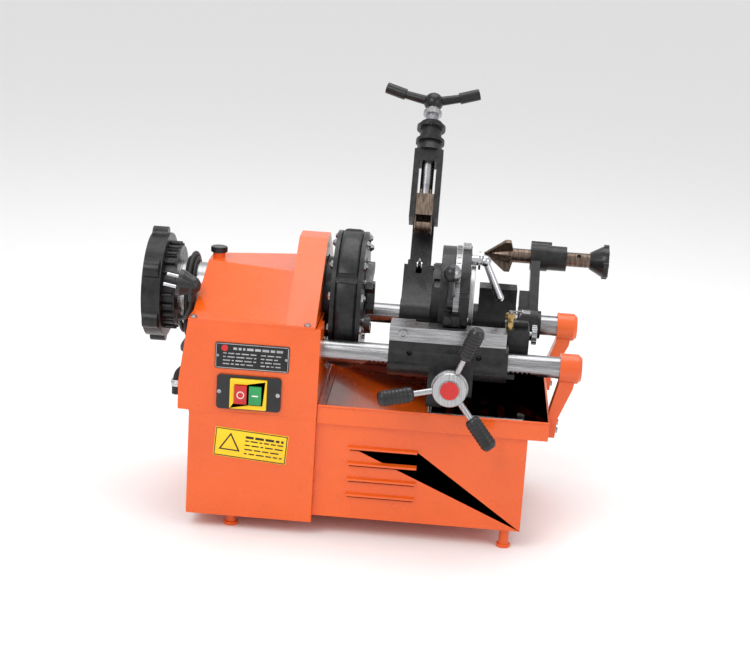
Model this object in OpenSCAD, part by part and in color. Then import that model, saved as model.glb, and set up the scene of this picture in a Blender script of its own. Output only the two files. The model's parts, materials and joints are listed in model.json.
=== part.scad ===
// Bench pipe threading machine: headstock, two guide rails and a tool carriage.
// Inside each part X runs along the spindle, Y to the back and Z up.
// Zero is on the spindle axis, in the middle plane of the front chuck.

/* [Overall] */
// Height of the spindle axis above the floor
axis_h = 309; // [290:1:380]
// Distance between the two guide rails
rail_gap = 220; // [210:1:270]
// How far the rails lie below the spindle axis
rail_drop = 48; // [44:1:54]
// Diameter of the guide rails
rail_d = 30; // [25:1:36]
// Depth of the headstock from front to back
head_w = 310; // [300:1:360]
// Depth of the oil pan and the cabinet under it
pan_w = 300; // [300:1:360]
// Right end of the oil pan
pan_end = 293; // [280:1:320]

/* [Spindle and chucks] */
// Bore of the spindle that the pipe goes through
bore_d = 63; // [60:0.5:64]
// Outside diameter of the front chuck drum
chuck_d = 200; // [165:1:204]
// Outside diameter of the rear chuck ring
rear_chuck_d = 150; // [135:1:160]
// Number of nuts on each chuck flange
nut_count = 12; // [6:1:16]

/* [Carriage and tools] */
// Diameter of the feed handwheel over its grips
wheel_d = 200; // [160:2:240]
// Outside diameter of the die head
die_d = 176; // [150:1:180]
// How far the pipe cutter leans back at rest
cutter_lean = 35; // [25:1:40]
// How far the reamer leans back at rest
reamer_lean = 45; // [35:1:55]
// Teeth of the feed pinion
feed_teeth = 12; // [12:1:14]

/* [Hidden] */
$fn = 64;
rail_y = rail_gap / 2;
rail_r = rail_d / 2;
sleeve_r = rail_r + 12;
fit = 0.06;
bore_r = bore_d / 2;
barrel_r = bore_r + 4.5;
swing_r = sqrt(rail_y * rail_y + rail_drop * rail_drop);
seat_r = 40;
head_y = head_w / 2;
pan_y = pan_w / 2;
floor_z = -axis_h;
box_z = floor_z + 21;
seam_z = -136;
pan_z = -116;
right_x = -26;
// Gear shafts below the spindle
pitch_a = 90;
pitch_b = 56.25;
pitch_c = 60.75;
dir_a = -88;
dir_b = -92;
dir_c = -88;
idler1_y = pitch_a * cos(dir_a);
idler1_z = pitch_a * sin(dir_a);
idler2_y = idler1_y + pitch_b * cos(dir_b);
idler2_z = idler1_z + pitch_b * sin(dir_b);
motor_y = idler2_y + pitch_c * cos(dir_c);
motor_z = idler2_z + pitch_c * sin(dir_c);
// Feed pinion under the front rail
feed_x = 153.6;
feed_module = 2;
feed_r = feed_module * feed_teeth / 2;
rack_z = -rail_drop - rail_r + 6.5;
feed_z = rack_z - feed_r;
wheel_y = -rail_y - 80;
// Seat of the guide bar on the carriage
guide_z = -20;
// Height of the cutter handle above the rear rail
handle_reach = 360;
// Middle of the whole object
mid_x = 44.5;
mid_y = (handle_reach * sin(cutter_lean) + rail_y + wheel_y + 2) / 2;

// Placing helpers
module placed() translate([-mid_x, -mid_y, axis_h]) children();
module yz(x, len) translate([x, 0, 0]) rotate([90, 0, 90]) linear_extrude(len) children();
module xz(y, len) translate([0, y + len, 0]) rotate([90, 0, 0]) linear_extrude(len) children();
module bar(x, len, r, y = 0, z = 0) translate([x, y, z]) rotate([0, 90, 0]) cylinder(h = len, r = r);
module cone(x, len, r1, r2, y = 0, z = 0) translate([x, y, z]) rotate([0, 90, 0])
    cylinder(h = len, r1 = r1, r2 = r2);
module pin(y, len, r, x, z) translate([x, y, z]) rotate([-90, 0, 0]) cylinder(h = len, r = r);
module box(x1, x2, y1, y2, z1, z2) translate([x1, y1, z1]) cube([x2 - x1, y2 - y1, z2 - z1]);
module ring(x, len, r_out, r_in, y = 0, z = 0) difference() {
    bar(x, len, r_out, y, z);
    bar(x - 1, len + 2, r_in, y, z);
}
module hex_bar(x, len, r, y, z) translate([x, y, z]) rotate([0, 90, 0]) cylinder(h = len, r = r, $fn = 6);
module on_rear_rail(lean) translate([0, rail_y, -rail_drop]) rotate([-lean, 0, 0]) children();

// Involute gear outlines
function inv(a) = tan(a) * 57.29578 - a;
function base_r(m, z) = m * z / 2 * cos(20);
function half_tooth(m, z, r) = 90 / z - 4 / z + inv(20) - inv(acos(min(1, base_r(m, z) / r)));
function low_r(m, z) = m * (z / 2 - 1.25);
function radii(m, z) = [low_r(m, z), m * z / 2, m * (z / 2 + 1)];
function at_r(m, z, r, a, s) = let (q = a + s * half_tooth(m, z, max(r, base_r(m, z))))
    [r * cos(q), r * sin(q)];
function tooth(m, z, a) = concat(
    [for (r = radii(m, z)) at_r(m, z, r, a, -1)],
    [for (i = [2 : -1 : 0]) at_r(m, z, radii(m, z)[i], a, 1)]);
module gear(m, z, a0) polygon([for (i = [0 : z - 1]) each tooth(m, z, a0 + i * 360 / z)]);
function mate(z1, a1, z2, dir) = dir + 180 - (180 - z1 * (dir - a1)) / z2;
module hex_gear(x, len, m, z, a0, y, zz, hole_r, sides = 6) translate([0, y, zz]) difference() {
    yz(x, len) gear(m, z, a0);
    translate([x - 1, 0, 0]) rotate([0, 90, 0]) cylinder(h = len + 2, r = hole_r, $fn = sides);
}

/* ---------- stand ---------- */
module base_box() placed() color("darkorange") difference() {
    box(-203, right_x, -head_y, head_y, box_z, seam_z);
    box(-200.5, right_x - 2.5, 2.5 - head_y, head_y - 2.5, box_z + 2.5, seam_z + 1);
    bar(right_x - 5, 10, 20, motor_y, motor_z);
}
module feet() placed() color("darkorange") for (x = [-142, 245], y = [-130, 130]) {
    translate([x, y, floor_z + 5]) cylinder(h = box_z - floor_z - 5 + (x > 0 ? 8 : 0), r = 7);
    translate([x, y, floor_z]) cylinder(h = 5, r = 10);
}
module base_cabinet() placed() color("darkorange") {
    cabinet_shell();
    louvre_hoods();
}
module cabinet_shell() difference() {
    box(right_x, 266, 5 - pan_y, pan_y - 5, box_z + 8, -143);
    box(right_x + 2.5, 263.5, 7.5 - pan_y, pan_y - 7.5, box_z + 10.5, -142);
    bar(right_x - 2, 6, 20, motor_y, motor_z);
    for (i = [0 : 3]) box(22, 114, 0 - pan_y, 10 - pan_y, -249 + i * 23, -243 + i * 23);
}
module louvre_hoods() for (i = [0 : 3]) translate([0, 0, -249 + i * 23])
    translate([20, 5 - pan_y, 0]) rotate([90, 0, 90]) linear_extrude(96)
        polygon([[0, 8], [-5, 6], [-5, 3], [-3.6, 3], [-3.6, 5.2], [0, 6.4]]);
module oil_pan() placed() color("darkorange") difference() {
    union() {
        box(right_x, pan_end, -pan_y, pan_y, -143, pan_z);
        box(right_x + 3, 262.5, 9 - pan_y, pan_y - 9, -161.5, -143);
    }
    box(right_x + 2, pan_end - 2, 2 - pan_y, pan_y - 2, -141, pan_z + 1);
    xz(11 - pan_y, pan_w - 22)
        polygon([[right_x + 5, -140], [right_x + 5, -144], [122, -158], [260.5, -160], [260.5, -140]]);
}
module chip_tray() placed() color("dimgray") {
    difference() {
        box(127, 258, 16 - pan_y, pan_y - 16, -157.5, -122);
        box(128.5, 256.5, 17.5 - pan_y, pan_y - 17.5, -156, -121);
        for (x = [150 : 25 : 235]) box(x, x + 12, -60, 60, -158, -155);
    }
    for (x = [127.7, 257.3]) translate([x, 0, -122]) rotate([90, 0, 0])
        cylinder(h = pan_w - 34, r = 3, center = true);
    for (y = [16.7 - pan_y, pan_y - 16.7]) bar(127.7, 129.6, 3, y, -122);
}

/* ---------- headstock ---------- */
module headstock_housing() placed() color("darkorange") difference() {
    xz(-head_y, head_w) polygon([[-203, seam_z], [-219, seam_z + 0.5], [-219, -94], [-208, -8],
        [right_x, -8],
        [right_x, seam_z]]);
    xz(3 - head_y, head_w - 6) polygon([[-200, seam_z - 1], [-200, seam_z + 3], [-216, seam_z + 3],
        [-216, -94],
        [-205, -7], [right_x - 7, -7], [right_x - 7, seam_z - 1]]);
    bar(-225, 30, barrel_r + 4);
    bar(right_x - 4, 10, chuck_d / 2 + 4);
    bar(-40, 20, 61);
    for (y = [-rail_y, rail_y]) bar(right_x - 10, 20, rail_r, y, -rail_drop);
    for (x = [-130.5, -110.5]) pin(-head_y - 1, 8, 5, x, -105);
}
module cover_side(w) translate([-75, 0, 0]) rotate([0, 0, -15]) yz(-170, 230)
    polygon([[-150 + w, -9], [-55 + w, 47], [260, 47], [260, -9]]);
module cover_form(w) {
    intersection() {
        xz(-head_y + w, head_w - 2 * w)
            polygon([[-208 + w, -9], [-203 + w, 47 - w], [-60, 47 - w], [-60, -9]]);
        cover_side(w * 1.3);
        mirror([0, 1, 0]) cover_side(w * 1.3);
    }
    yz(-75 + w, 41 - 2 * w) polygon([[-155 + 2 * w, -9], [-20 + w * 0.6, 90 - w], [20 - w * 0.6, 90 - w],
        [155 - 2 * w, -9]]);
}
module spindle_cover() placed() color("darkorange") {
    cover_shell();
    filler_neck();
}
module cover_shell() difference() {
    union() {
        cover_form(0);
        box(-208, -33.5, -head_y, head_y, -8, -5);
    }
    cover_form(2.5);
    box(-230, 0, -200, 200, -20, -8);
    bar(-225, 30, barrel_r + 4);
    bar(-37, 10, 61);
    for (x = [-201, -45], s = [-1, 1]) translate([x, s * (head_y - 6), -5]) cylinder(h = 9, r = 4.6);
}
module cover_screws() placed() color("silver") {
    for (x = [-201, -45], s = [-1, 1]) translate([x, s * (head_y - 6), -5]) {
        cylinder(h = 2.5, r = 4.5);
        translate([0, 0, 2.5]) cylinder(h = 1.5, r = 2.5, $fn = 6);
    }
    for (x = [-161, -80]) pin(-head_y - 5.5, 1.5, 3, x, -104);
    for (x = [-165, -71]) pin(-head_y - 2.5, 1, 2, x, -53.5);
}
module filler_neck() translate([-192, 0, 47]) difference() {
    cylinder(h = 7, r = 9);
    translate([0, 0, -1]) cylinder(h = 9, r = 6.6);
}
module filler_cap() placed() color("black") translate([-192, 0, 0]) {
    translate([0, 0, 54.1]) cylinder(h = 8, r = 11);
    translate([0, 0, 48]) cylinder(h = 6.2, r = 6.5);
    for (a = [0 : 30 : 330]) rotate([0, 0, a]) translate([10.6, -1.2, 54.6]) cube([1.4, 2.4, 6.6]);
}
module nameplate() placed() color("black") box(-169, -67, -head_y - 1.5, -head_y, -72, -35);
module switch_plate() placed() color("black") difference() {
    box(-165, -76, -head_y - 4, -head_y, -129, -80);
    for (x = [-130.5, -110.5]) button_hole(x, -head_y - 5);
}
module switch_frame() placed() color("gold") difference() {
    box(-146, -95, -head_y - 9, -head_y - 4, -126.5, -83.5);
    for (x = [-130.5, -110.5]) button_hole(x, -head_y - 10);
}
module button_hole(x, y) box(x - 8.8, x + 8.8, y, y + 7, -118.3, -91.7);
module button(x) {
    box(x - 8.5, x + 8.5, -head_y - 12.5, -head_y - 3.2, -118, -92);
    pin(-head_y - 3.3, 10, 4, x, -105);
}
module stop_button() placed() color("red") button(-130.5);
module start_button() placed() color("green") button(-110.5);
module warning_label() placed() color("yellow") translate([-115, -head_y, -181]) rotate([0, 4, 0])
    translate([-51, -0.8, -21]) cube([102, 0.8, 42]);
module gear_case() placed() color("gray") {
    case_walls();
    spindle_bushes();
}
module case_walls() difference() {
    union() {
        box(-45, -38, -56, 56, box_z + 2.5, 20);
        bar(-45, 9, 47);
        box(-124, -116, -56, 56, box_z + 2.5, 10);
        bar(-126, 12, 44.4);
        box(-99.5, -95.5, -56, 56, box_z + 2.5, -56);
        for (y = [-56, 48]) box(-117, -44, y, y + 8, box_z + 2.5, -230 + (309 - axis_h));
    }
    bar(-130, 100, seat_r + 4);
    bar(-100, 62, 8, idler1_y, idler1_z);
    for (x = [-130, -50]) bar(x, 20, 8, idler2_y, idler2_z);
    bar(-100, 10, 10.5, idler2_y, idler2_z);
    bar(-130, 100, 7 + fit, motor_y, motor_z);
    box(-130, -30, -60, 60, 44, 60);
}
module spindle_bushes() {
    ring(-45, 9, seat_r + 4, seat_r + fit);
    ring(-126, 12, seat_r + 4, seat_r + fit);
}
module idler1() placed() color("silver") {
    hex_gear(-69, 24, 2, 18, mate(72, 0, 18, dir_a), idler1_y, idler1_z, 9);
    hex_gear(-92, 12, 1.25, 72, 0, idler1_y, idler1_z, 9);
    hex_bar(-95.3, 49.8, 9, idler1_y, idler1_z);
    bar(-99.5, 61.5, 8 - fit, idler1_y, idler1_z);
}
a_idler2 = mate(72, 0, 18, dir_b);
module idler2() placed() color("silver") {
    hex_gear(-93, 14, 1.25, 18, a_idler2, idler2_y, idler2_z, 8.5);
    hex_gear(-112, 10, 1.5, 63, a_idler2, idler2_y, idler2_z, 8.5);
    hex_bar(-114, 66, 8.5, idler2_y, idler2_z);
    bar(-124, 86, 8 - fit, idler2_y, idler2_z);
}
module motor_shaft() placed() color("silver") {
    hex_gear(-113, 12, 1.5, 18, mate(63, a_idler2, 18, dir_c), motor_y, motor_z, 7);
    hex_bar(-113.5, 13, 7, motor_y, motor_z);
    bar(-124, 10.5, 7, motor_y, motor_z);
    bar(-100.5, 299, 7, motor_y, motor_z);
    ring(190, 8.5, 12, 7, motor_y, motor_z);
    for (a = [0 : 60 : 300]) translate([190, motor_y, motor_z]) rotate([a, 0, 0])
        box(0, 8.5, -1.5, 1.5, 11, 36);
}
module motor_body() placed() color("dimgray") difference() {
    union() {
        bar(-10, 190, 43, motor_y, motor_z);
        for (i = [0 : 11]) translate([10, motor_y, motor_z]) rotate([30 * i + 15, 0, 0])
            box(0, 150, -1.5, 1.5, 40, 43);
        for (x = [10, 130]) box(x, x + 25, motor_y - 34, motor_y + 34, box_z + 10.5, motor_z - 24);
    }
    bar(-11, 195, 7 + fit, motor_y, motor_z);
}

/* ---------- spindle and front chuck ---------- */
module spindle_tube() placed() color("silver") difference() {
    union() {
        bar(-262, 136, barrel_r);
        bar(-127, 107, seat_r);
        yz(-68, 22) gear(2, 72, 0);
    }
    bar(-263, 250, bore_r);
}
module chuck_body() placed() color("black") difference() {
    union() {
        bar(-34, 12, 58);
        bar(-22, 44, 60);
    }
    bar(-35, 15, seat_r);
    bar(-21, 45, bore_r);
    for (a = [0 : 120 : 240]) rotate([a, 0, 0]) bar(10, 14, 5, 0, 47);
}
module chuck_drum() placed() color("black") {
    drum_band();
    ring(-21.5, 6, chuck_d / 2 - 3, 60 + fit);
    ring(15.5, 6, chuck_d / 2 - 3, 60 + fit);
}
module drum_band() difference() {
    rotate([0, 90, 0]) rotate_extrude()
        polygon([[60 + fit, -15.5], [chuck_d / 2 - 5, -15.5], [chuck_d / 2 - 1, -12],
        [chuck_d / 2, -8], [chuck_d / 2, 8], [chuck_d / 2 - 1, 12], [chuck_d / 2 - 5, 15.5],
            [60 + fit, 15.5]]);
    for (i = [0 : 5]) rotate([60 * i, 0, 0]) bar(-16, 32, 9, 0, chuck_d / 2 + 4);
}
module nut_ring(x, s) for (i = [0 : nut_count - 1]) rotate([i * 360 / nut_count + 15, 0, 0])
    translate([x, 0, chuck_d / 2 - 12]) rotate([0, s * 90, 0]) {
        cylinder(h = 3, r = 6, $fn = 6);
        translate([0, 0, 3]) cylinder(h = 2.6, r1 = 4.6, r2 = 2.6);
    }
module chuck_nuts() placed() color("silver") {
    nut_ring(-21.5, -1);
    nut_ring(21.5, 1);
}
module jaw_shape() {
    translate([47, 0]) circle(r = 9);
    polygon([[54, 5], [44, -7], [33, 22], [22, 28], [24, 35], [34, 35]]);
    translate([26.5, 29.5]) circle(r = 5);
    for (i = [0 : 2]) translate([24.5 + 2.8 * i, 24.6 - i * 2.4]) rotate(48)
        square([3, 3], center = true);
}
module jaw(a, x, len) rotate([a, 0, 0]) {
    yz(x, len) jaw_shape();
    bar(x - 12, 12, 5 - fit, 47, 0);
}
module jaw_1() placed() color("silver") jaw(90, 22.2, 11);
module jaw_2() placed() color("silver") jaw(210, 22.2, 11);
module jaw_3() placed() color("silver") jaw(330, 22.2, 11);

/* ---------- rear centring chuck ---------- */
module rear_chuck_body() placed() color("black") difference() {
    union() {
        bar(-264, 19, 58);
        bar(-284, 20, 60);
    }
    bar(-262, 20, barrel_r);
    bar(-291, 30, bore_r);
    bar(-285, 15, 56.5);
    for (a = [0 : 120 : 240]) rotate([a, 0, 0]) bar(-272, 24, 5, 0, 47);
}
module rear_scroll_ring() placed() color("black") difference() {
    union() {
        ring(-290, 27, rear_chuck_d / 2, 60 + fit);
        for (i = [0 : 5]) rotate([60 * i, 0, 0]) ring(-288, 22, 13, 0.5, 0, rear_chuck_d / 2 - 3);
    }
    bar(-292, 30, 60 + fit);
}
module rear_jaws() placed() color("silver") for (a = [0 : 120 : 240]) jaw(a + 30, -281, 10.8);

/* ---------- rails ---------- */
module rack_cut() {
    box(34, 272, -rail_y - 20, -rail_y + 20, -rail_drop - rail_r - 2, rack_z - 1.3);
    for (i = [-18 : 17]) translate([feed_x + i * PI * feed_module, 0, rack_z]) xz(-rail_y - 20, 40)
        polygon([[-2.3, -1.5], [2.3, -1.5], [0.95, 2.6], [-0.95, 2.6]]);
}
module rail_front() placed() color("silver") difference() {
    bar(-44, 364, rail_r, -rail_y, -rail_drop);
    rack_cut();
}
module rail_rear() placed() color("silver") bar(-44, 368, rail_r, rail_y, -rail_drop);
module bracket(x) {
    difference() {
        union() {
            bar(x, 25, rail_r + 5.5, 0, -rail_drop);
            cone(x + 25, 5, rail_r + 5.5, rail_r + 1, 0, -rail_drop);
            translate([0, 12, 0]) rotate([90, 0, 0]) linear_extrude(24)
                polygon([[x + 2, -rail_drop], [x + 24, -rail_drop],
                [x + 20, -rail_drop - 26], [pan_end + 12, -118], [pan_end + 10, -146], [pan_end, -146],
                [pan_end, -108], [x, -rail_drop - 22]]);
        }
        bar(x - 1, 22, rail_r, 0, -rail_drop);
    }
    for (z = [-126, -138]) bar(pan_end + 10, 4, 4, 0, z);
}
module rail_brackets() placed() color("orange") {
    translate([0, -rail_y, 0]) bracket(302);
    translate([0, rail_y, 0]) bracket(306);
}

/* ---------- carriage ---------- */
module carriage_casting() placed() color("black") {
    carriage_body();
    end_block();
}
module carriage_body() difference() {
    union() {
        bar(66, 164, sleeve_r, -rail_y, -rail_drop);
        bar(118, 30, sleeve_r - 2, rail_y, -rail_drop);
        bar(172, 71, sleeve_r - 2, rail_y, -rail_drop);
        box(123, 184, -rail_y - 27, -rail_y + 25, -92, -rail_drop);
        box(122, 145, -rail_y - 20, rail_y + 15, -112, -96);
        box(122, 145, -rail_y - 20, -rail_y + 12, -100, -rail_drop - 10);
        box(122, 145, rail_y - 8, rail_y + 15, -100, -rail_drop - 10);
        box(218, 241, -rail_y, rail_y, -rail_drop - 22, -rail_drop - 4);
        box(186, 242, rail_y - 22, rail_y + 14, -rail_drop, 8);
        box(66, 226, -rail_y - 23, -rail_y + 18, -rail_drop, guide_z);
    }
    bar(60, 240, rail_r + fit, -rail_y, -rail_drop);
    bar(110, 140, rail_r + fit, rail_y, -rail_drop);
    box(feed_x - feed_r - 4, feed_x + feed_r + 4, -rail_y - 9, -rail_y + 9, feed_z - feed_r - 4,
        -rail_drop);
    pin(-rail_y - 40, 80, 6 + fit, feed_x, feed_z);
    for (x = [95, 190]) pin(-rail_y - 30, 12, 4, x, -36);
    box(60, 230, -rail_y - 30, -rail_y + 21, guide_z, guide_z + 20);
}
module guide_bar() placed() color("silver") {
    machined_bar();
    guide_bolts();
}
module machined_bar() difference() {
    box(66, 226, -rail_y - 25, -rail_y + 20, guide_z, 0);
    box(100, 226.5, -rail_y - 12, -rail_y + 21, -3, 1);
}
module guide_bolts() for (x = [85, 190]) difference() {
    pin(-rail_y - 29, 4, 6.5, x, -10);
    translate([x, -rail_y - 30, -10]) rotate([-90, 0, 0]) cylinder(h = 4, r = 3.2, $fn = 6);
}
module end_block() {
    box(224, 258, -rail_y + 22, -rail_y + 68, -rail_drop - 4, -6);
    box(236, 256, -rail_y + 38, -rail_y + 50, -6, 2);
}
module depth_stop() placed() color("silver") {
    bar(258, 4, 4, -rail_y + 52, -18);
    bar(262, 7, 13, -rail_y + 52, -18);
    for (a = [0 : 30 : 330]) rotate_about(-rail_y + 52, -18, a) bar(262.5, 6, 1.6, 0, 12.6);
    xz(-rail_y + 58, 12)
        polygon([[224, -6], [240, -6], [246, 10], [258, 10], [258, 12], [245, 12], [239, -4], [224, -4]]);
}
module rotate_about(y, z, a) translate([0, y, z]) rotate([a, 0, 0]) children();
module oil_valve() placed() color("goldenrod") {
    translate([230, -rail_y + 30, -6]) cylinder(h = 16, r = 5);
    translate([230, -rail_y + 30, 10]) cylinder(h = 6, r = 7, $fn = 6);
    pin(-rail_y + 12, 14, 3.5, 230, 4);
}
module feed_pinion() placed() color("silver") {
    translate([feed_x, 0, feed_z]) xz(-rail_y - 8, 16) gear(feed_module, feed_teeth, 90);
    pin(-rail_y + 8, 15, 6, feed_x, feed_z);
    pin(wheel_y + 2, -rail_y - wheel_y - 10, 6, feed_x, feed_z);
}
module spoke_frame(i) translate([feed_x, wheel_y + 13, feed_z]) rotate([0, -70 - 120 * i, 0])
    rotate([0, 0, -13]) children();
module wheel_hub() placed() color("silver") {
    translate([feed_x, wheel_y + 1, feed_z]) rotate([-90, 0, 0]) difference() {
        rotate_extrude() polygon([[0, 0], [23, 0], [24, 2], [22.5, 9], [25, 10], [25, 16], [21, 17],
            [15, 34], [0, 34]]);
        translate([0, 0, -1]) cylinder(h = 3, r = 14);
        translate([0, 0, 1]) cylinder(h = 40, r = 6);
    }
    for (i = [0 : 2]) spoke_frame(i) bar(20, wheel_d / 2 - 70, 4.2);
    pin(wheel_y, 2, 13.5, feed_x, feed_z);
}
module wheel_grips() placed() color("black") for (i = [0 : 2]) spoke_frame(i) {
    bar(wheel_d / 2 - 46, 40, 10.5);
    cone(wheel_d / 2 - 50, 4, 8, 10.5);
    cone(wheel_d / 2 - 6, 5, 10.5, 7);
}

/* ---------- die head ---------- */
module die_body() placed() color("black") {
    die_casting();
    front_block();
}
module die_casting() difference() {
    union() {
        bar(157.5, 13, die_d / 2);
        bar(119, 38.5, 60);
        bar(151, 19.5, sleeve_r - 2, rail_y, -rail_drop);
        yz(157.5, 13) polygon([[0, -die_d / 2], [rail_y - 4, -rail_drop - 24],
            [rail_y + 16, -rail_drop + 16],
            [40, die_d / 2 - 20], [0, 0]]);
        box(137, 160, -rail_y - 4, -die_d / 2 - 1.5, 0.4, 14);
        box(157.5, 170.5, -rail_y + 4, -50, 0.4, 40);
    }
    bar(100, 90, bore_r + 1.5);
    bar(150, 30, rail_r + fit, rail_y, -rail_drop);
    for (i = [0 : 3]) rotate([45 + 90 * i, 0, 0]) box(120, 132, -7.1, 7.1, 20, 60.4);
    for (i = [0 : 5]) rotate([60 * i + 30, 0, 0]) bar(166, 6, 5, 0, die_d / 2 - 11);
    pin(-rail_y - 5, 8, 4, 143, 8);
    bar(165, 10, 5.1, -20, 74);
    box(150, 180, -14, 14, die_d / 2 - 1.2, die_d / 2 + 5);
}
module die_rim() placed() color("silver") {
    ring(129, 19.5, die_d / 2 - 2, 60);
    end_plate();
    index_tag();
    rest_screw();
}
module cam_plate() placed() color("silver") {
    difference() {
        union() {
            ring(149, 8, die_d / 2 - 1, 60 + fit);
            rotate([-16, 0, 0]) box(149, 157, -rail_y + 4, -die_d / 2 + 14, -6, 9);
        }
        bar(140, 30, 60 + fit);
    }
    cam_handle();
}
module cam_handle() rotate([-16, 0, 0]) {
    bar(141, 8, 8, -rail_y + 12, 0);
    translate([145, -rail_y + 12, 6]) cylinder(h = 30, r1 = 6, r2 = 4.5);
    translate([145, -rail_y + 12, 42]) sphere(r = 13);
}
module chaser(i) placed() color("gray") rotate([45 + 90 * i, 0, 0]) difference() {
    box(120.1, 131.9, -7, 7, bore_r + 1.8, 55);
    for (k = [0 : 2]) box(119, 121 + k, -8, 8, bore_r + 1 + k * 0.1, bore_r + 2.6 - k * 0.2);
}
module chaser_1() chaser(0);
module chaser_2() chaser(1);
module chaser_3() chaser(2);
module chaser_4() chaser(3);
module front_block() difference() {
    union() {
        bar(117.6, 1.4, 56);
        for (a = [0 : 90 : 270]) rotate([a, 0, 0]) box(116.8, 119, -13, 13, bore_r + 6, 57);
    }
    bar(110, 20, bore_r + 1.5);
}
module end_plate() difference() {
    bar(170.5, 7, 70);
    bar(170, 10, bore_r + 4);
    bar(170, 10, 9, -20, 74);
    bar(174, 10, 60);
}
module index_tag() {
    box(157.5, 169, -13.5, 13.5, die_d / 2 - 1.2, die_d / 2 + 3);
    box(160, 163, -9, -6, die_d / 2 + 3, die_d / 2 + 6);
}
module clamp_lever() placed() color("silver") {
    bar(165.2, 6, 5, -20, 74);
    bar(171.2, 9, 7, -20, 74);
    bar(180.2, 3, 13, -20, 74);
    bar(183.2, 5, 6, -20, 74);
    translate([190, -20, 74]) sphere(r = 8);
    translate([190, -20, 74]) rotate([0, 155, 0]) cylinder(h = 57, r1 = 4.5, r2 = 6);
    translate([214.1, -20, 22.3]) sphere(r = 6.2);
}
module rest_screw() {
    pin(-rail_y - 8, 4, 5.5, 143, 8);
    pin(-rail_y - 4, 6.5, 4, 143, 8);
}

/* ---------- pipe cutter, drawn upright from the rear rail ---------- */
yoke_low = 150;
yoke_top = 277;
module cutter_frame() placed() color("black") on_rear_rail(cutter_lean) {
    cutter_yoke();
    for (x = [80, 97]) difference() {
        box(x, x + 8, -14, 14, 74, 88);
        bar(x - 1, 10, 4, 0, 80);
    }
}
module cutter_yoke() difference() {
    union() {
        bar(69, 47, sleeve_r - 2);
        box(70, 115, -22, 22, 10, 74);
        box(75, 110, -16, 16, 74, 84);
        for (x = [70, 106]) box(x, x + 9, -16, 16, 154, yoke_top - 8);
        yz(76, 33) polygon([[14.2, 40], [44, 70], [46, 150], [30, 190], [14.2, 204], [14.2, 165],
            [33, 150], [33, 92], [14.2, 78]]);
        box(70, 115, -16, 16, yoke_top - 26, yoke_top - 6);
        translate([92.5, 0, yoke_top - 6]) cylinder(h = 12, r1 = 22, r2 = 19);
        translate([92.5, 0, yoke_top + 6]) cylinder(h = 40, r = 17);
        for (z = [yoke_top + 10, yoke_top + 34]) translate([92.5, 0, z]) cylinder(h = 6, r = 22.5);
    }
    bar(60, 70, rail_r + fit);
    box(88, 97, -30, 30, 60, 75);
    box(79, 106, -17, 17, 74, 100);
    translate([92.5, 0, yoke_top - 40]) cylinder(h = 100, r = 10 + fit);
    for (s = [-1, 1]) translate([92.5, s * 22, yoke_top + 31]) cylinder(h = 14, r = 3);
}
module cutting_wheel() placed() color("silver") on_rear_rail(cutter_lean) {
    bar(80, 25, 4 - fit, 0, 80);
    cone(90.3, 2.2, 8, 15, 0, 80);
    cone(92.5, 2.2, 15, 8, 0, 80);
    bar(88.3, 8.4, 8, 0, 80);
}
module cutter_slide() placed() color("dimgray") on_rear_rail(cutter_lean) {
    slide_block();
    ring(81, 23, 9.5, 5, 0, 146);
    bar(79.1, 26.8, 5, 0, 146);
}
module slide_block() difference() {
    union() {
        box(79.1, 105.9, -14, 14, 160, 196);
        for (x = [79.1, 104]) box(x, x + 1.9, -12, 12, 138, 160);
        for (x = [84, 97]) box(x, x + 4, -8, 8, 196, 206);
    }
    bar(70, 50, 5, 0, 146);
    translate([92.5, 0, 180]) cylinder(h = 40, r = 10.1);
}
module cutter_screw() placed() color("black") on_rear_rail(cutter_lean) {
    translate([92.5, 0, 180.2]) cylinder(h = 170, r = 10);
    translate([92.5, 0, 336.5]) cylinder(h = 7, r = 14.5);
    translate([92.5, 0, handle_reach]) sphere(r = 15.5);
    handle_arm(1, 62);
    handle_arm(-1, 66);
}
module handle_arm(s, reach) translate([92.5, 0, handle_reach]) rotate([0, s * 77, 0]) {
    translate([0, 0, 10]) cylinder(h = reach - 24, r1 = 7.5, r2 = 6.5);
    translate([0, 0, reach - 20]) rotate([0, -s * 5, 0]) cylinder(h = 32, r = 9);
}

/* ---------- reamer, drawn upright from the rear rail ---------- */
module reamer_arm() placed() color("black") on_rear_rail(reamer_lean) {
    arm_casting();
    reamer_collar();
}
module arm_casting() difference() {
    union() {
        bar(246, 30, sleeve_r - 2);
        box(262, 276, -14, 14, 10, swing_r);
        bar(261, 26, 21, 0, swing_r);
        box(262, 284, 8, 16, swing_r - 10, swing_r + 34);
        box(262, 294, 8, 16, swing_r + 26, swing_r + 34);
        box(247, 262, -10, 10, 15, 52);
        bar(276, 5, rail_r + 6);
    }
    bar(240, 60, rail_r + fit);
    bar(250, 50, 11 + fit, 0, swing_r);
}
module reamer_collar() difference() {
    ring(287, 29, 19, 11 + fit, 0, swing_r);
    translate([304, 0, swing_r + 10]) cylinder(h = 20, r = 4, $fn = 6);
}
module reamer_shaft() placed() color("sienna") on_rear_rail(reamer_lean) translate([0, 0, swing_r]) {
    difference() {
        bar(226, 134, 11);
        pin(-20, 40, 3.5, 335, 0);
    }
    for (i = [0 : 4]) rotate([72 * i, 0, 0]) xz(-2.5, 5)
        polygon([[190, 0], [222, 26], [230, 26], [234, 10.8], [234, 0]]);
    cone(192, 34, 2, 10);
}
module reamer_knob() placed() color("black") on_rear_rail(reamer_lean) translate([0, 0, swing_r])
    difference() {
    union() {
        cone(352, 20, 13, 24);
        bar(372, 8, 24);
        for (a = [0 : 45 : 315]) rotate([a, 0, 0]) bar(372, 8, 5, 0, 22);
    }
    bar(350, 10, 11);
}

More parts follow.
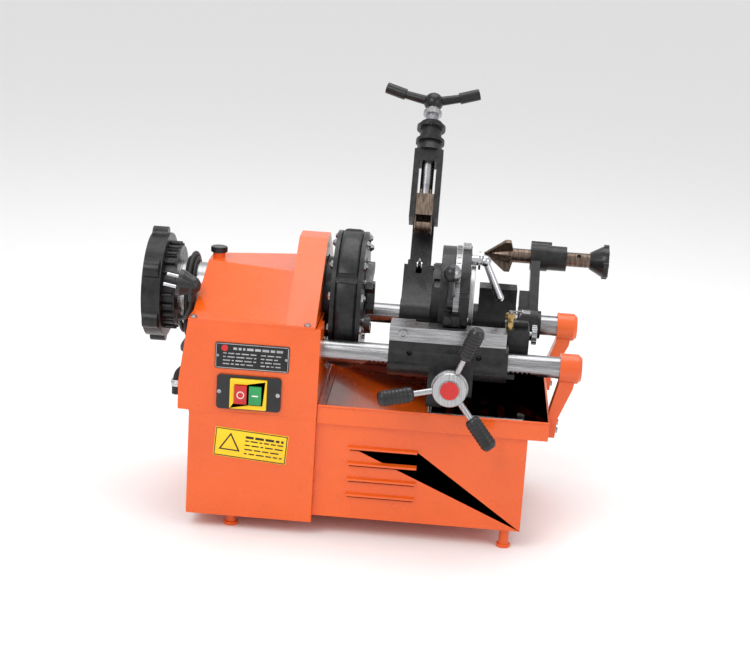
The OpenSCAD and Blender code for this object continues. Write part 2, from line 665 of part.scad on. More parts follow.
/* ---------- drain hose and power cord ---------- */
cord_r = 3.5;
hang_r = barrel_r + 1.5;
hang_z = -76 + hang_r + 4 * cord_r;
module drain_hose() placed() color("black") {
    translate([-219, -60, -123]) rotate([-90, 0, 0]) rotate([0, 0, 180]) rotate_extrude(angle = 90)
        translate([18, 0]) circle(r = 6);
    translate([-237, -60, -133]) {
        cylinder(h = 10, r = 8.5);
        translate([0, 0, 4]) cylinder(h = 3, r = 9.5);
        translate([0, 0, -12]) cylinder(h = 12, r = 7.5);
    }
}
module coil_outline(r) {
    circle(r = r);
    translate([0, hang_z]) circle(r = r);
    translate([-r, hang_z]) square([2 * r, -hang_z]);
}
module cord_coil() placed() color("black") yz(-242, 24) difference() {
    coil_outline(hang_r + 4 * cord_r);
    coil_outline(hang_r);
}

// Tube of constant thickness through a list of points
function unit(v) = v / norm(v);
function way(p, i) = i == 0 ? unit(p[1] - p[0]) : i == len(p) - 1 ? unit(p[i] - p[i - 1]) :
    unit(p[i + 1] - p[i - 1]);
function side(d) = unit(cross(d, [0.2, 0.1, 1]));
function hoop(c, d, r, n) = let (u = side(d), v = cross(d, u)) [for (k = [0 : n - 1])
    c + r * (cos(360 * k / n) * u + sin(360 * k / n) * v)];
module cord_tube(p, r, n = 10) polyhedron(
    [for (i = [0 : len(p) - 1]) each hoop(p[i], way(p, i), r, n)],
    concat([[for (k = [0 : n - 1]) k]],
        [for (i = [0 : len(p) - 2], k = [0 : n - 1]) [i * n + (k + 1) % n, i * n + k, (i + 1) * n + k,
            (i + 1) * n + (k + 1) % n]],
        [[for (k = [n - 1 : -1 : 0]) (len(p) - 1) * n + k]]));
module cord_lead() placed() color("black") {
    bar(-227, 8, 9, 40, -112);
    bar(-232, 5, 7, 40, -112);
    lead_in();
    cord_tail();
}
module lead_in() cord_tube([[-232, 40, -112], [-237, 40, -112], [-241, 38, -111], [-244, 32, -109],
    [-244, 22, -106], [-242, 10, -101], [-238, -2, -95], [-234, -10, -87], [-232, -14, -80],
        [-231.2, -13, -75]],
    cord_r);
module cord_tail() cord_tube([[-237.9, -52.6, -26.7], [-237, -56, -29], [-233, -65, -31],
    [-227, -76, -28],
    [-221, -87, -20], [-216, -94, -10], [-214, -96, -2], [-214, -96, 3]], cord_r);
module cord_plug() placed() color("black") {
    translate([-214, -96, 3]) cylinder(h = 14, r1 = 5, r2 = 6.5);
    translate([-214, -96, 26]) {
        sphere(r = 13);
        rotate([0, -80, 0]) {
            cylinder(h = 13, r1 = 12.8, r2 = 18);
            translate([0, 0, 13]) cylinder(h = 6, r = 18.5);
            for (y = [-9.5, 9.5]) rotate([0, 0, 90 + 55]) translate([0, y, 19]) cylinder(h = 19, r = 2.4);
        }
    }
}

// Which part to draw
base_box();
feet();
base_cabinet();
oil_pan();
chip_tray();
headstock_housing();
spindle_cover();
cover_screws();
filler_cap();
nameplate();
switch_plate();
switch_frame();
stop_button();
start_button();
warning_label();
gear_case();
idler1();
idler2();
motor_shaft();
motor_body();
spindle_tube();
chuck_body();
chuck_drum();
chuck_nuts();
jaw_1();
jaw_2();
jaw_3();
rear_chuck_body();
rear_scroll_ring();
rear_jaws();
rail_front();
rail_rear();
rail_brackets();
carriage_casting();
guide_bar();
depth_stop();
oil_valve();
feed_pinion();
wheel_hub();
wheel_grips();
die_body();
die_rim();
cam_plate();
clamp_lever();
cutter_frame();
cutting_wheel();
cutter_slide();
cutter_screw();
reamer_arm();
reamer_shaft();
reamer_knob();
drain_hose();
cord_coil();
cord_lead();
cord_plug();
chaser_1();
chaser_2();
chaser_3();
chaser_4();
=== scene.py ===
import json
import math

import bmesh
import bpy
from mathutils import Matrix, Vector


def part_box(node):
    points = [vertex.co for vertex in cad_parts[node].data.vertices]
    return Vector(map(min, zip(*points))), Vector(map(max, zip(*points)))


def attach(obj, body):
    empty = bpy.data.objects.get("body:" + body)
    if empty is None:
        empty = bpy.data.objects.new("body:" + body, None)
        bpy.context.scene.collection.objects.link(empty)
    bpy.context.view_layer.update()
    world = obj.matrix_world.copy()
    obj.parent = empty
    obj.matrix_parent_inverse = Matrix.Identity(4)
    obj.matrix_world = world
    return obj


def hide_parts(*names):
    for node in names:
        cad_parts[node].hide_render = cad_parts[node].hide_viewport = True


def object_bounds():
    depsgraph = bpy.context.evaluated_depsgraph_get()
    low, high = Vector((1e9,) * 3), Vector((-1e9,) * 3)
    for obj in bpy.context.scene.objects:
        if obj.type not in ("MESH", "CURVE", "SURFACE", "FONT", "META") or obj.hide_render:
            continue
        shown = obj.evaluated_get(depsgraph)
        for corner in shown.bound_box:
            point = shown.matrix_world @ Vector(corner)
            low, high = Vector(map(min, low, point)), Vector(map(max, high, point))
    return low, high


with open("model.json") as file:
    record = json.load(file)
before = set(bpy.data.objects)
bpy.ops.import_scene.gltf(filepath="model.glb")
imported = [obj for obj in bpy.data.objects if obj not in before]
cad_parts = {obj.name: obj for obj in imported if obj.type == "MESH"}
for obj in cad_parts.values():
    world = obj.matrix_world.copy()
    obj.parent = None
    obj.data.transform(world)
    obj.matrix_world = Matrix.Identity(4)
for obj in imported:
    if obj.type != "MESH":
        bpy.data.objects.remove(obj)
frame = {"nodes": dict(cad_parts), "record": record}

cad_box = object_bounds()
RECORD = frame["record"]
BODY_OF = {node: body for body, nodes in RECORD["behaviour"]["bodies"].items() for node in nodes}
SLOT_OF = {part["node"]: part["material_slot"] for part in RECORD["subparts"]}

# The middle of the front chuck drum is zero in the machine's own millimetres.
drum_low, drum_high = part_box("chuck_drum")
ZERO = (drum_low + drum_high) / 2


def at(x, y, z):
    """A point in the machine's own millimetres, as metres in the row frame."""
    return ZERO + Vector((x, y, z)) / 1000


def own(point):
    """A row frame point in the machine's own millimetres."""
    return (point - ZERO) * 1000


# ---------------------------------------------------------------- camera

def make_camera():
    azimuth, height, roll = math.radians(3), math.radians(15.7), math.radians(3.6)
    look = at(39.2, 0, -48.7)
    level = math.cos(height)
    away = Vector((math.sin(azimuth) * level, -math.cos(azimuth) * level, math.sin(height)))
    data = bpy.data.cameras.new("camera")
    data.lens = 79.5
    camera = bpy.data.objects.new("camera", data)
    bpy.context.collection.objects.link(camera)
    turn = away.to_track_quat("Z", "Y").to_matrix().to_4x4()
    camera.matrix_world = Matrix.Translation(look + away * 2.4) @ turn @ Matrix.Rotation(roll, 4, "Z")
    bpy.context.scene.camera = camera


make_camera()


# ---------------------------------------------------------------- materials

class Surface:
    """A procedural material, built up node by node."""

    def __init__(self, name, rough, metal=0.0):
        self.material = bpy.data.materials.new(name)
        self.material.use_nodes = True
        self.tree = self.material.node_tree
        self.shader = self.tree.nodes["Principled BSDF"]
        self.shader.inputs["Metallic"].default_value = metal
        self.shader.inputs["Roughness"].default_value = rough
        self.place = self.tree.nodes.new("ShaderNodeTexCoord").outputs["Object"]
        self.normal = None

    def link(self, a, b):
        self.tree.links.new(a, b)

    def noise(self, scale, detail=4.0, stretch=(1, 1, 1), rough=0.55):
        mapping = self.tree.nodes.new("ShaderNodeMapping")
        mapping.inputs["Scale"].default_value = stretch
        node = self.tree.nodes.new("ShaderNodeTexNoise")
        node.inputs["Scale"].default_value = scale
        node.inputs["Detail"].default_value = detail
        node.inputs["Roughness"].default_value = rough
        self.link(self.place, mapping.inputs["Vector"])
        self.link(mapping.outputs["Vector"], node.inputs["Vector"])
        return node.outputs["Fac"]

    def ramp(self, value, low, high, start=0.3, end=0.7):
        node = self.tree.nodes.new("ShaderNodeMapRange")
        for key, number in (("From Min", start), ("From Max", end), ("To Min", low), ("To Max", high)):
            node.inputs[key].default_value = number
        self.link(value, node.inputs["Value"])
        return node.outputs["Result"]

    def blend(self, factor, first, second):
        node = self.tree.nodes.new("ShaderNodeMix")
        node.data_type = "RGBA"
        for key, colour in ((6, first), (7, second)):
            if isinstance(colour, tuple):
                node.inputs[key].default_value = (*colour, 1)
            else:
                self.link(colour, node.inputs[key])
        self.link(factor, node.inputs["Factor"])
        return node.outputs[2]

    def colour(self, first, second, scale=30, stretch=(1, 1, 1), start=0.35, end=0.65):
        mix = self.blend(self.ramp(self.noise(scale, stretch=stretch), 0, 1, start, end), first, second)
        self.link(mix, self.shader.inputs["Base Color"])
        return mix

    def dirt(self, base, colour, amount, scale=14):
        spots = self.ramp(self.noise(scale, 8, rough=0.7), 0, amount, 0.55, 0.8)
        mix = self.blend(spots, base, colour)
        self.link(mix, self.shader.inputs["Base Color"])
        return mix

    def roughness(self, low, high, scale=60, stretch=(1, 1, 1)):
        self.link(self.ramp(self.noise(scale, stretch=stretch), low, high), self.shader.inputs["Roughness"])

    def bump(self, scale, strength, depth=0.0004, detail=3.0, stretch=(1, 1, 1)):
        node = self.tree.nodes.new("ShaderNodeBump")
        node.inputs["Strength"].default_value = strength
        node.inputs["Distance"].default_value = depth
        self.link(self.noise(scale, detail, stretch), node.inputs["Height"])
        if self.normal:
            self.link(self.normal, node.inputs["Normal"])
        self.normal = node.outputs["Normal"]
        self.link(self.normal, self.shader.inputs["Normal"])

    def coat(self, weight, rough):
        self.shader.inputs["Coat Weight"].default_value = weight
        self.shader.inputs["Coat Roughness"].default_value = rough

    def specular(self, level):
        self.shader.inputs["Specular IOR Level"].default_value = level


def paint(name, light, dark, rough, grain, coat=0.25):
    surface = Surface(name, rough)
    base = surface.colour(light, dark, 6)
    surface.dirt(base, tuple(c * 0.55 for c in dark), 0.25, 35)
    surface.roughness(rough * 0.85, rough * 1.25, 40)
    surface.bump(grain[0], grain[1], grain[2])
    surface.bump(9, 0.25, 0.0006, 1)
    surface.coat(coat, 0.08)
    return surface.material


def cast(name, light, dark, rough, depth):
    surface = Surface(name, rough)
    surface.colour(light, dark, 90)
    surface.roughness(rough * 0.7, rough * 1.35, 130)
    surface.bump(420, 0.8, depth, 4)
    surface.bump(110, 0.5, depth * 1.6, 2)
    surface.coat(0.12, 0.12)
    surface.specular(0.28)
    return surface.material


def metal(name, light, dark, rough, stretch, depth=0.00004, spots=0.25):
    surface = Surface(name, rough, 1.0)
    base = surface.colour(light, dark, 60, stretch)
    surface.dirt(base, tuple(c * 0.45 for c in dark), spots, 60)
    surface.roughness(rough * 0.7, rough * 1.5, 90, stretch)
    surface.bump(160, 0.6, depth, 5, stretch)
    return surface.material


def plastic(name, light, dark, rough, grain=600, coat=0.0):
    surface = Surface(name, rough)
    surface.colour(light, dark, 25)
    surface.roughness(rough * 0.85, rough * 1.2, 70)
    surface.bump(grain, 0.35, 0.00012, 2)
    surface.coat(coat, 0.1)
    surface.specular(0.3)
    return surface.material


ORANGE = paint("orange_paint", (0.78, 0.108, 0.005), (0.70, 0.090, 0.004), 0.24, (750, 0.25, 0.00012))
ORANGE_CAST = paint("orange_cast", (0.75, 0.105, 0.006), (0.62, 0.078, 0.005), 0.33, (260, 0.7, 0.0005))
BLACK_CAST = cast("black_cast", (0.016, 0.016, 0.017), (0.006, 0.006, 0.007), 0.34, 0.0003)
BLACK_SMOOTH = cast("black_smooth", (0.014, 0.014, 0.015), (0.007, 0.007, 0.007), 0.28, 0.0001)
STEEL = metal("steel", (0.46, 0.46, 0.47), (0.30, 0.30, 0.32), 0.22, (1, 1, 1))
TURNED = metal("turned_steel", (0.50, 0.50, 0.51), (0.30, 0.30, 0.31), 0.26, (14, 0.6, 0.6), 0.00008)
GROUND = metal("ground_steel", (0.40, 0.40, 0.41), (0.23, 0.23, 0.24), 0.24, (0.5, 12, 12), 0.00006)
CHROME = metal("chrome", (0.58, 0.58, 0.60), (0.44, 0.44, 0.47), 0.11, (1, 1, 1), 0.00002, 0.1)
DARK_STEEL = metal("dark_steel", (0.14, 0.14, 0.145), (0.07, 0.07, 0.075), 0.36, (1, 1, 1), 0.0001)
BROWN_STEEL = metal("brown_steel", (0.20, 0.155, 0.125), (0.10, 0.072, 0.055), 0.33, (6, 1, 1), 0.0001, 0.45)
BRASS = metal("brass", (0.50, 0.36, 0.15), (0.34, 0.23, 0.09), 0.28, (1, 1, 1), 0.00005)
RUBBER = plastic("black_rubber", (0.022, 0.022, 0.023), (0.010, 0.010, 0.011), 0.46, 500)
BLACK_PLASTIC = plastic("black_plastic", (0.020, 0.020, 0.022), (0.010, 0.010, 0.011), 0.30, 700, 0.2)
YELLOW = plastic("yellow_plastic", (0.90, 0.58, 0.012), (0.82, 0.50, 0.01), 0.34, 500, 0.2)
RED = plastic("red_plastic", (0.56, 0.008, 0.006), (0.46, 0.006, 0.005), 0.22, 500, 0.5)
GREEN = plastic("green_plastic", (0.012, 0.30, 0.075), (0.010, 0.22, 0.06), 0.24, 500, 0.5)
WHITE = plastic("white_print", (0.82, 0.82, 0.80), (0.72, 0.72, 0.70), 0.40)
FLOOR = plastic("studio_floor", (0.90, 0.90, 0.90), (0.89, 0.89, 0.89), 0.8, 90)

MATERIAL_OF = {
    "orange_paint": ORANGE, "orange_cast": ORANGE_CAST, "black_cast": BLACK_CAST, "steel": STEEL,
    "dark_steel": DARK_STEEL, "brown_steel": BROWN_STEEL, "brass": BRASS, "black_rubber": RUBBER,
    "black_plastic": BLACK_PLASTIC, "yellow_plastic": YELLOW, "red_plastic": RED, "green_plastic": GREEN,
}


# ---------------------------------------------------------------- making pieces

def finish_mesh(bm, name, materials):
    mesh = bpy.data.meshes.new(name)
    bm.to_mesh(mesh)
    bm.free()
    for material in materials:
        mesh.materials.append(material)
    piece = bpy.data.objects.new(name, mesh)
    bpy.context.collection.objects.link(piece)
    return piece


def add_bevel(piece, width, segments=3, angle=32):
    bevel = piece.modifiers.new("edges", "BEVEL")
    bevel.width = width / 1000
    bevel.segments = segments
    bevel.limit_method = "ANGLE"
    bevel.angle_limit = math.radians(angle)
    bevel.use_clamp_overlap = True
    bevel.harden_normals = True
    return bevel


def soften(node, width, material=None, paints=(), segments=3, angle=32):
    """A copy of a CAD node with rounded edges.

    paints holds (test, material) pairs: a face takes the material where the test on its middle is true.
    """
    bm = bmesh.new()
    bm.from_mesh(frame["nodes"][node].data)
    bmesh.ops.remove_doubles(bm, verts=bm.verts, dist=0.000002)
    bmesh.ops.dissolve_limit(bm, angle_limit=math.radians(0.5), verts=bm.verts, edges=bm.edges)
    for face in bm.faces:
        face.smooth = True
        face.material_index = 0
        centre = own(face.calc_center_median())
        for index, (test, _) in enumerate(paints):
            if test(centre.x, centre.y, centre.z):
                face.material_index = index + 1
    for edge in bm.edges:
        edge.smooth = len(edge.link_faces) == 2 and edge.calc_face_angle(0) < math.radians(angle)
    first = material or MATERIAL_OF[SLOT_OF[node]]
    piece = finish_mesh(bm, node + "_shape", [first] + [m for _, m in paints])
    add_bevel(piece, width, segments, angle)
    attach(piece, BODY_OF[node])
    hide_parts(node)
    return piece


def keep(node, material=None):
    """A CAD node that is shown as it is, with a better material."""
    cad = frame["nodes"][node]
    cad.data.materials.clear()
    cad.data.materials.append(material or MATERIAL_OF[SLOT_OF[node]])


def piece_of(bm, name, material, body, replaced=(), bevel=0.0, segments=2):
    for face in bm.faces:
        face.smooth = True
    for edge in bm.edges:
        edge.smooth = len(edge.link_faces) == 2 and edge.calc_face_angle(0) < math.radians(32)
    piece = finish_mesh(bm, name, [material])
    if bevel:
        add_bevel(piece, bevel, segments)
    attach(piece, body)
    if replaced:
        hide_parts(*replaced)
    return piece


def add_box(bm, low, high, turn=None):
    """A box between two corners in the machine's millimetres, turned about its middle by turn."""
    a, b = at(*low), at(*high)
    made = bmesh.ops.create_cube(bm, size=1)["verts"]
    size = Matrix.Diagonal((*(b - a), 1))
    place = Matrix.Translation((a + b) / 2) @ (turn or Matrix.Identity(4)) @ size
    bmesh.ops.transform(bm, matrix=place, verts=made)


def add_rod(bm, start, end, radius, end_radius=None, segments=32):
    a, b = at(*start), at(*end)
    line = b - a
    place = Matrix.Translation((a + b) / 2) @ line.to_track_quat("Z", "Y").to_matrix().to_4x4()
    bmesh.ops.create_cone(bm, cap_ends=True, segments=segments, radius1=radius / 1000,
                          radius2=(radius if end_radius is None else end_radius) / 1000,
                          depth=line.length, matrix=place)


def add_ball(bm, centre, radius):
    bmesh.ops.create_uvsphere(bm, u_segments=32, v_segments=20, radius=radius / 1000,
                              matrix=Matrix.Translation(at(*centre)))


def add_outline(bm, points, depth):
    """A flat outline, given as (x, y, z) points and pushed forward, towards minus y, by a depth."""
    verts = [bm.verts.new(at(*p)) for p in points]
    face = bm.faces.new(verts)
    made = bmesh.ops.extrude_face_region(bm, geom=[face])
    moved = [g for g in made["geom"] if isinstance(g, bmesh.types.BMVert)]
    bmesh.ops.translate(bm, verts=moved, vec=(0, -depth / 1000, 0))
    bmesh.ops.recalc_face_normals(bm, faces=bm.faces)


def round_box(x1, x2, z1, z2, y, radius, steps=8):
    """Outline of a rectangle with round corners in the front plane."""
    corners = ((x2 - radius, z2 - radius, 0), (x1 + radius, z2 - radius, 90),
               (x1 + radius, z1 + radius, 180), (x2 - radius, z1 + radius, 270))
    return [(cx + radius * math.cos(math.radians(a + 90 * i / steps)), y,
             cz + radius * math.sin(math.radians(a + 90 * i / steps)))
            for cx, cz, a in corners for i in range(steps + 1)]


# ---------------------------------------------------------------- power cord

BARREL = 36
CORD = 3.5
GAP = 1.5
INNER = BARREL + GAP + CORD
LAYER = 2 * CORD
DROP = 76 - BARREL - GAP - 4 * CORD
LEFT_ROW, RIGHT_ROW, NEXT_ROW = -238.4, -221.6, -231.2
LEAD = [(-232, 40, -112), (-238, 40, -112), (-243, 37, -110), (-246, 30, -105), (-245, 22, -98),
        (-241, 14, -90), (-236, 7, -82)]
TAIL = [(-238.6, -43, -41), (-238.3, -50, -35), (-237, -57, -31), (-233, -66, -30.5), (-227, -77, -27),
        (-221, -87, -19), (-216.4, -93.5, -10), (-214.3, -95.8, -3), (-214, -96, 3.5)]
OUTER_TURNS, INNER_TURNS = 1.25, 1.88
STEPS_PER_TURN = 40
CROSSING = 0.12


def on_hank(turns, radius, x):
    """A point on one loop of the hank: turns counts loops from the bottom, going to the front first."""
    arc = math.pi * radius
    around = (turns % 1) * 2 * (arc + DROP)
    if around < arc / 2:
        angle = -90 - math.degrees(around / radius)
        return x, radius * math.cos(math.radians(angle)), -DROP + radius * math.sin(math.radians(angle))
    around -= arc / 2
    if around < DROP:
        return x, -radius, -DROP + around
    around -= DROP
    if around < arc:
        angle = 180 - math.degrees(around / radius)
        return x, radius * math.cos(math.radians(angle)), radius * math.sin(math.radians(angle))
    around -= arc
    if around < DROP:
        return x, radius, -around
    around -= DROP
    angle = -math.degrees(around / radius)
    return x, radius * math.cos(math.radians(angle)), -DROP + radius * math.sin(math.radians(angle))


def eased(t):
    """A smooth step from 0 to 1."""
    t = min(1, max(0, t))
    return t * t * (3 - 2 * t)


def cord_route():
    """The lead from the housing, the outer turns, the inner turns and the tail to the plug, as points."""
    route = list(LEAD)
    for i in range(1, int(OUTER_TURNS * STEPS_PER_TURN)):
        t = i / STEPS_PER_TURN
        route.append(on_hank(t, INNER + LAYER, NEXT_ROW + (RIGHT_ROW - NEXT_ROW) * t / OUTER_TURNS))
    for i in range(int(INNER_TURNS * STEPS_PER_TURN)):
        t = i / STEPS_PER_TURN
        route.append(on_hank(t + OUTER_TURNS, INNER + LAYER * (1 - eased(t / CROSSING)),
                             RIGHT_ROW + (LEFT_ROW - RIGHT_ROW) * t / INNER_TURNS))
    return route + list(TAIL)


def make_cord():
    route = [at(*p) for p in cord_route()]
    curve = bpy.data.curves.new("power_cord", "CURVE")
    curve.dimensions = "3D"
    curve.bevel_depth = CORD / 1000
    curve.bevel_resolution = 5
    spline = curve.splines.new("POLY")
    spline.points.add(len(route) - 1)
    for point, place in zip(spline.points, route):
        point.co = (*place, 1)
    curve.use_fill_caps = True
    curve.materials.append(RUBBER)
    cord = bpy.data.objects.new("power_cord", curve)
    bpy.context.collection.objects.link(cord)
    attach(cord, "stand")
    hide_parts("cord_coil", "cord_lead")


def make_plug():
    middle_x, middle_z, pin_start = -214, 26, 19.2
    out_x, out_z = -0.985, 0.174

    def pins(x, y, z):
        """Whether a point lies past the plug's face, on its pins."""
        return (x - middle_x) * out_x + (z - middle_z) * out_z > pin_start

    body = soften("cord_plug", 1.5, BLACK_PLASTIC, [(pins, CHROME)])
    make_cord()


def make_gland():
    bm = bmesh.new()
    add_rod(bm, (-227, 40, -112), (-217, 40, -112), 9, segments=6)
    add_rod(bm, (-232, 40, -112), (-226.9, 40, -112), 7, segments=24)
    piece_of(bm, "cord_gland", BLACK_PLASTIC, "stand", bevel=0.6)


make_plug()
make_gland()


# ---------------------------------------------------------------- housing and stand

FRONT = -155


def make_shells():
    for node, width in (("base_box", 4.0), ("base_cabinet", 1.6), ("oil_pan", 1.2),
                        ("headstock_housing", 4.5), ("spindle_cover", 2.2)):
        soften(node, width, ORANGE, segments=4, angle=18)
    soften("rail_brackets", 2.2, ORANGE_CAST, [(lambda x, y, z: x > 303.2 and z < -121, STEEL)])
    soften("feet", 1.0, ORANGE)
    soften("cover_screws", 0.5, STEEL)
    soften("filler_cap", 0.6, BLACK_PLASTIC)
    soften("chip_tray", 0.5, DARK_STEEL, [(lambda x, y, z: z > -123.5, STEEL)])


def make_chip_tray_ribs():
    bm = bmesh.new()
    for angle in (-38, 38):
        add_box(bm, (188, -1.5, -156), (194, 1.5, -154.2),
                Matrix.Rotation(math.radians(angle), 4, "Z") @ Matrix.Diagonal((1, 52, 1, 1)))
    add_box(bm, (135, -92, -156), (250, -84, -153.5))
    piece_of(bm, "tray_ribs", DARK_STEEL, "stand", bevel=0.8)
    bm = bmesh.new()
    add_box(bm, (249, -124, -133), (259.5, -112, -116.5))
    piece_of(bm, "tray_clip", BLACK_PLASTIC, "stand", bevel=1.5)


def make_seams():
    """Folded edges and weld lines on the sheet housing."""
    bm = bmesh.new()
    add_box(bm, (-203.6, FRONT - 0.6, -137.6), (-26.4, FRONT + 1, -134.6))
    piece_of(bm, "housing_seam", ORANGE, "stand", bevel=0.6)
    bm = bmesh.new()
    left, right, side, top, radius = -25.5, 292.5, 150.4, -116.6, 1.6
    add_rod(bm, (left, -side, top), (right, -side, top), radius)
    add_rod(bm, (right + 0.1, -side, top), (right + 0.1, side, top), radius)
    add_rod(bm, (left, side, top), (right, side, top), radius)
    piece_of(bm, "pan_rim_bead", ORANGE, "stand")


def print_rows(bm, x1, x2, top, rows, step, seed, y, height=1.6):
    """Short raised dashes in rows, in place of print."""
    value = seed
    for row in range(rows):
        x = x1
        while x < x2 - 3:
            value = (value * 73 + 41) % 101
            width = 3 + value % 9
            end = min(x + width, x2)
            add_box(bm, (x, y - 0.25, top - row * step - height), (end, y + 0.3, top - row * step))
            x = end + 2.2


def make_nameplate():
    y = FRONT - 1.5
    bm = bmesh.new()
    add_outline(bm, round_box(-169, -67, -72, -35, FRONT, 2.5), 1.5)
    piece_of(bm, "plate_base", BLACK_SMOOTH, "stand", ["nameplate"], 0.3)
    bm = bmesh.new()
    for low, high in (((-168, -71), (-68, -70)), ((-168, -37), (-68, -36)), ((-168, -71), (-167, -36)),
                      ((-69, -71), (-68, -36))):
        add_box(bm, (low[0], y - 0.3, low[1]), (high[0], y + 0.3, high[1]))
    print_rows(bm, -144, -76, -41, 1, 4, 9, y, 3.4)
    print_rows(bm, -158, -112, -49, 4, 5, 5, y)
    print_rows(bm, -106, -78, -49, 4, 5, 3, y)
    piece_of(bm, "plate_print", STEEL, "stand")
    bm = bmesh.new()
    add_rod(bm, (-156, y + 0.2, -42.5), (-156, y - 0.3, -42.5), 4.6)
    piece_of(bm, "plate_dot", RED, "stand")


def make_switch():
    bm = bmesh.new()
    add_outline(bm, round_box(-165, -76, -129, -80, FRONT, 5), 4)
    piece_of(bm, "switch_base", BLACK_PLASTIC, "stand", ["switch_plate"], 0.8)
    soften("switch_frame", 1.6, YELLOW)
    for node, colour in (("stop_button", RED), ("start_button", GREEN)):
        soften(node, 1.0, colour)
    top = FRONT - 12.5
    ring = Matrix.Translation(at(-130.5, top - 0.1, -105)) @ Matrix.Rotation(math.pi / 2, 4, "X")
    bm = bmesh.new()
    bmesh.ops.create_cone(bm, cap_ends=False, segments=40, radius1=0.0052, radius2=0.0052, depth=0.0006,
                          matrix=ring)
    bmesh.ops.solidify(bm, geom=bm.faces[:], thickness=0.0011)
    piece_of(bm, "stop_mark", WHITE, "stop")
    bm = bmesh.new()
    add_box(bm, (-114.8, top - 0.4, -105.9), (-106.2, top + 0.2, -104.1))
    piece_of(bm, "start_mark", WHITE, "start")


def make_warning():
    turn = Matrix.Rotation(math.radians(4), 4, "Y")
    middle = Vector((-115, FRONT, -181))

    def place(u, v, y=0.8):
        p = turn @ Vector((u, 0, v))
        return (middle.x + p.x, FRONT - y, middle.z + p.z)

    def strip(bm, u1, u2, v1, v2, y, depth):
        add_outline(bm, [place(u1, v1, y), place(u2, v1, y), place(u2, v2, y), place(u1, v2, y)], depth)

    bm = bmesh.new()
    strip(bm, -51, 51, -21, 21, 0, 0.8)
    piece_of(bm, "label_base", YELLOW, "stand", ["warning_label"], 0.2)
    bm = bmesh.new()
    for u1, u2, v1, v2 in ((-50, 50, 19, 20.2), (-50, 50, -20.2, -19),
                           (-50, -48.8, -19, 19), (48.8, 50, -19, 19)):
        strip(bm, u1, u2, v1, v2, 0.7, 0.35)
    add_outline(bm, [place(-44, -11, 0.7), place(-14, -11, 0.7), place(-29, 15, 0.7)], 0.3)
    value = 7
    for row in range(5):
        u = -8
        while u < 42:
            value = (value * 73 + 41) % 101
            width = min(4 + value % 10, 45 - u)
            thick = 3.4 if row == 0 else 1.8
            strip(bm, u, u + width, 13 - row * 6.2 - thick, 13 - row * 6.2, 0.7, 0.3)
            u += width + 2.4
    piece_of(bm, "label_print", BLACK_SMOOTH, "stand")
    bm = bmesh.new()
    add_outline(bm, [place(-40.5, -9, 0.95), place(-17.5, -9, 0.95), place(-29, 11, 0.95)], 0.3)
    piece_of(bm, "label_triangle", YELLOW, "stand")


make_shells()
make_chip_tray_ribs()
make_seams()
make_nameplate()
make_switch()
make_warning()


# ---------------------------------------------------------------- spindle, chucks and drive

def make_chucks():
    soften("chuck_drum", 1.5, BLACK_CAST, angle=24)
    soften("chuck_body", 1.0, BLACK_CAST)
    soften("chuck_nuts", 0.5, STEEL)
    for i in (1, 2, 3):
        soften(f"jaw_{i}", 0.6, DARK_STEEL)
    soften("rear_chuck_body", 1.2, BLACK_CAST)
    soften("rear_scroll_ring", 2.0, BLACK_CAST)
    soften("rear_jaws", 0.6, DARK_STEEL)
    for node in ("spindle_tube", "idler1", "idler2", "motor_shaft", "gear_case", "motor_body"):
        keep(node, DARK_STEEL if node in ("gear_case", "motor_body") else TURNED)


def make_flange_bolts():
    """Screws on the chuck's front face and ribs on the rear ring."""
    screw_circle, rib_circle = 54.5, 61.5
    bm = bmesh.new()
    for i in range(6):
        angle = math.radians(60 * i + 20)
        y, z = screw_circle * math.cos(angle), screw_circle * math.sin(angle)
        add_rod(bm, (21.5, y, z), (25, y, z), 3.2)
    piece_of(bm, "chuck_screws", STEEL, "spindle", bevel=0.4)
    bm = bmesh.new()
    for i in range(24):
        angle = math.radians(15 * i)
        y, z = rib_circle * math.cos(angle), rib_circle * math.sin(angle)
        add_rod(bm, (-262.5, y, z), (-248, y, z), 2.2, segments=12)
    piece_of(bm, "rear_chuck_ribs", BLACK_CAST, "spindle", bevel=0.4)


make_chucks()
make_flange_bolts()


# ---------------------------------------------------------------- carriage and feed

def make_carriage():
    keep("rail_front", GROUND)
    keep("rail_rear", GROUND)
    soften("carriage_casting", 3.0, BLACK_CAST, angle=28)
    soften("guide_bar", 0.8, GROUND)
    soften("depth_stop", 0.6, STEEL)
    soften("oil_valve", 0.5, BRASS)
    soften("feed_pinion", 0.4, STEEL)
    soften("wheel_hub", 0.8, TURNED)
    soften("wheel_grips", 1.5, BLACK_PLASTIC)


WHEEL_X, WHEEL_Y, WHEEL_Z = 153.6, -190, -68.5


def make_wheel_details():
    """The disc in the middle of the feed wheel and the rings on its grips."""
    tilt = math.radians(13)
    first_ring, ring_step, ring_width = 58, 5.2, 2.4
    bm = bmesh.new()
    add_rod(bm, (WHEEL_X, WHEEL_Y + 1, WHEEL_Z), (WHEEL_X, WHEEL_Y - 1.6, WHEEL_Z), 12.8)
    piece_of(bm, "wheel_badge", RED, "feed", bevel=1.0)
    bm = bmesh.new()
    for i in range(3):
        angle = math.radians(70 + 120 * i)
        out = Vector((math.cos(angle) * math.cos(tilt), -math.sin(tilt), math.sin(angle) * math.cos(tilt)))
        start = Vector((WHEEL_X, WHEEL_Y + 13, WHEEL_Z))
        for k in range(7):
            near = first_ring + k * ring_step
            add_rod(bm, start + out * near, start + out * (near + ring_width), 11.1)
    piece_of(bm, "grip_ribs", RUBBER, "feed", bevel=0.5)


def make_valve_wire():
    bm = bmesh.new()
    add_rod(bm, (230, -80, 16), (230, -80, 20), 3)
    add_rod(bm, (230, -80, 19), (246, -88, 22), 1.2, segments=16)
    add_ball(bm, (246, -88, 22), 2.4)
    piece_of(bm, "valve_wire", STEEL, "carriage")


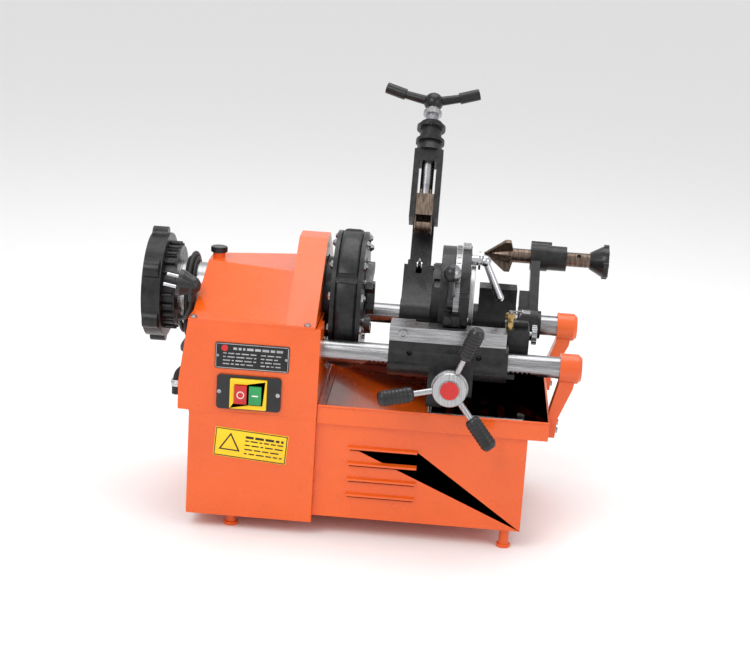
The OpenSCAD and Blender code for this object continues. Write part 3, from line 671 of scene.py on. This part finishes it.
make_carriage()
make_wheel_details()
make_valve_wire()


# ---------------------------------------------------------------- die head, cutter and reamer

def make_die_head():
    scale_circle, screw_circle = 86.8, 77
    soften("die_body", 1.6, BLACK_CAST, angle=28)
    soften("die_rim", 0.8, TURNED, [(lambda x, y, z: x < 149, BLACK_CAST)])
    soften("cam_plate", 0.8, GROUND, [(lambda x, y, z: x < 148.9, BLACK_PLASTIC)])
    soften("clamp_lever", 0.5, CHROME)
    for i in (1, 2, 3, 4):
        soften(f"chaser_{i}", 0.3, DARK_STEEL)
    bm = bmesh.new()
    for i in range(9):
        angle = math.radians(58 + 8 * i)
        y, z = -scale_circle * math.cos(angle), scale_circle * math.sin(angle)
        add_rod(bm, (150, y, z), (156, y * 1.002, z * 1.002), 0.5, segments=8)
    piece_of(bm, "cam_scale", BLACK_SMOOTH, "cam")
    bm = bmesh.new()
    for i in range(6):
        angle = math.radians(60 * i + 30)
        y, z = -screw_circle * math.sin(angle), screw_circle * math.cos(angle)
        add_rod(bm, (166.1, y, z), (171.6, y, z), 4.7, segments=24)
    piece_of(bm, "die_screws", STEEL, "die_head", bevel=0.4)


def make_cutter():
    swing = math.radians(35)
    middle_x, pivot_y, pivot_z = 92.5, 110, -48
    stem_end, stem_side = 346, 14.8

    def stem(x, y, z):
        """Whether a point lies on the screw's steel stem, and not on its T handle."""
        along = (y - pivot_y) * math.sin(swing) + (z - pivot_z) * math.cos(swing)
        return along < stem_end and abs(x - middle_x) < stem_side

    soften("cutter_frame", 1.8, BLACK_CAST)
    soften("cutting_wheel", 0.2, CHROME)
    soften("cutter_slide", 0.7, BROWN_STEEL)
    soften("cutter_screw", 0.8, BLACK_SMOOTH, [(stem, STEEL)])


def make_reamer():
    soften("reamer_arm", 1.6, BLACK_CAST)
    soften("reamer_shaft", 0.4, BROWN_STEEL)
    soften("reamer_knob", 1.4, BLACK_PLASTIC)


def make_hose():
    soften("drain_hose", 0.6, RUBBER, [(lambda x, y, z: -133.5 < z < -122.8, CHROME)])


make_die_head()
make_cutter()
make_reamer()
make_hose()


# ---------------------------------------------------------------- studio

def make_studio():
    low, high = cad_box
    bm = bmesh.new()
    bmesh.ops.create_grid(bm, x_segments=1, y_segments=1, size=80, matrix=Matrix.Translation((0, 0, low.z)))
    floor = finish_mesh(bm, "studio_floor", [FLOOR])
    world = bpy.data.worlds.new("studio")
    bpy.context.scene.world = world
    world.use_nodes = True
    background = world.node_tree.nodes["Background"]
    background.inputs["Color"].default_value = (1.0, 1.0, 1.0, 1)
    background.inputs["Strength"].default_value = 0.82
    bpy.context.scene.view_settings.view_transform = "Standard"
    for name, place, size, power in (("key", (-0.9, -1.5, 1.9), 1.3, 22), ("fill", (1.6, -1.2, 1.0), 1.2, 8),
                                     ("top", (0.1, 0.4, 2.2), 1.6, 20)):
        data = bpy.data.lights.new(name, "AREA")
        data.size = size
        data.energy = power
        lamp = bpy.data.objects.new(name, data)
        bpy.context.collection.objects.link(lamp)
        lamp.location = place
        aim = Vector((0, 0, 0.3)) - Vector(place)
        lamp.rotation_euler = aim.to_track_quat("-Z", "Y").to_euler()


make_studio()
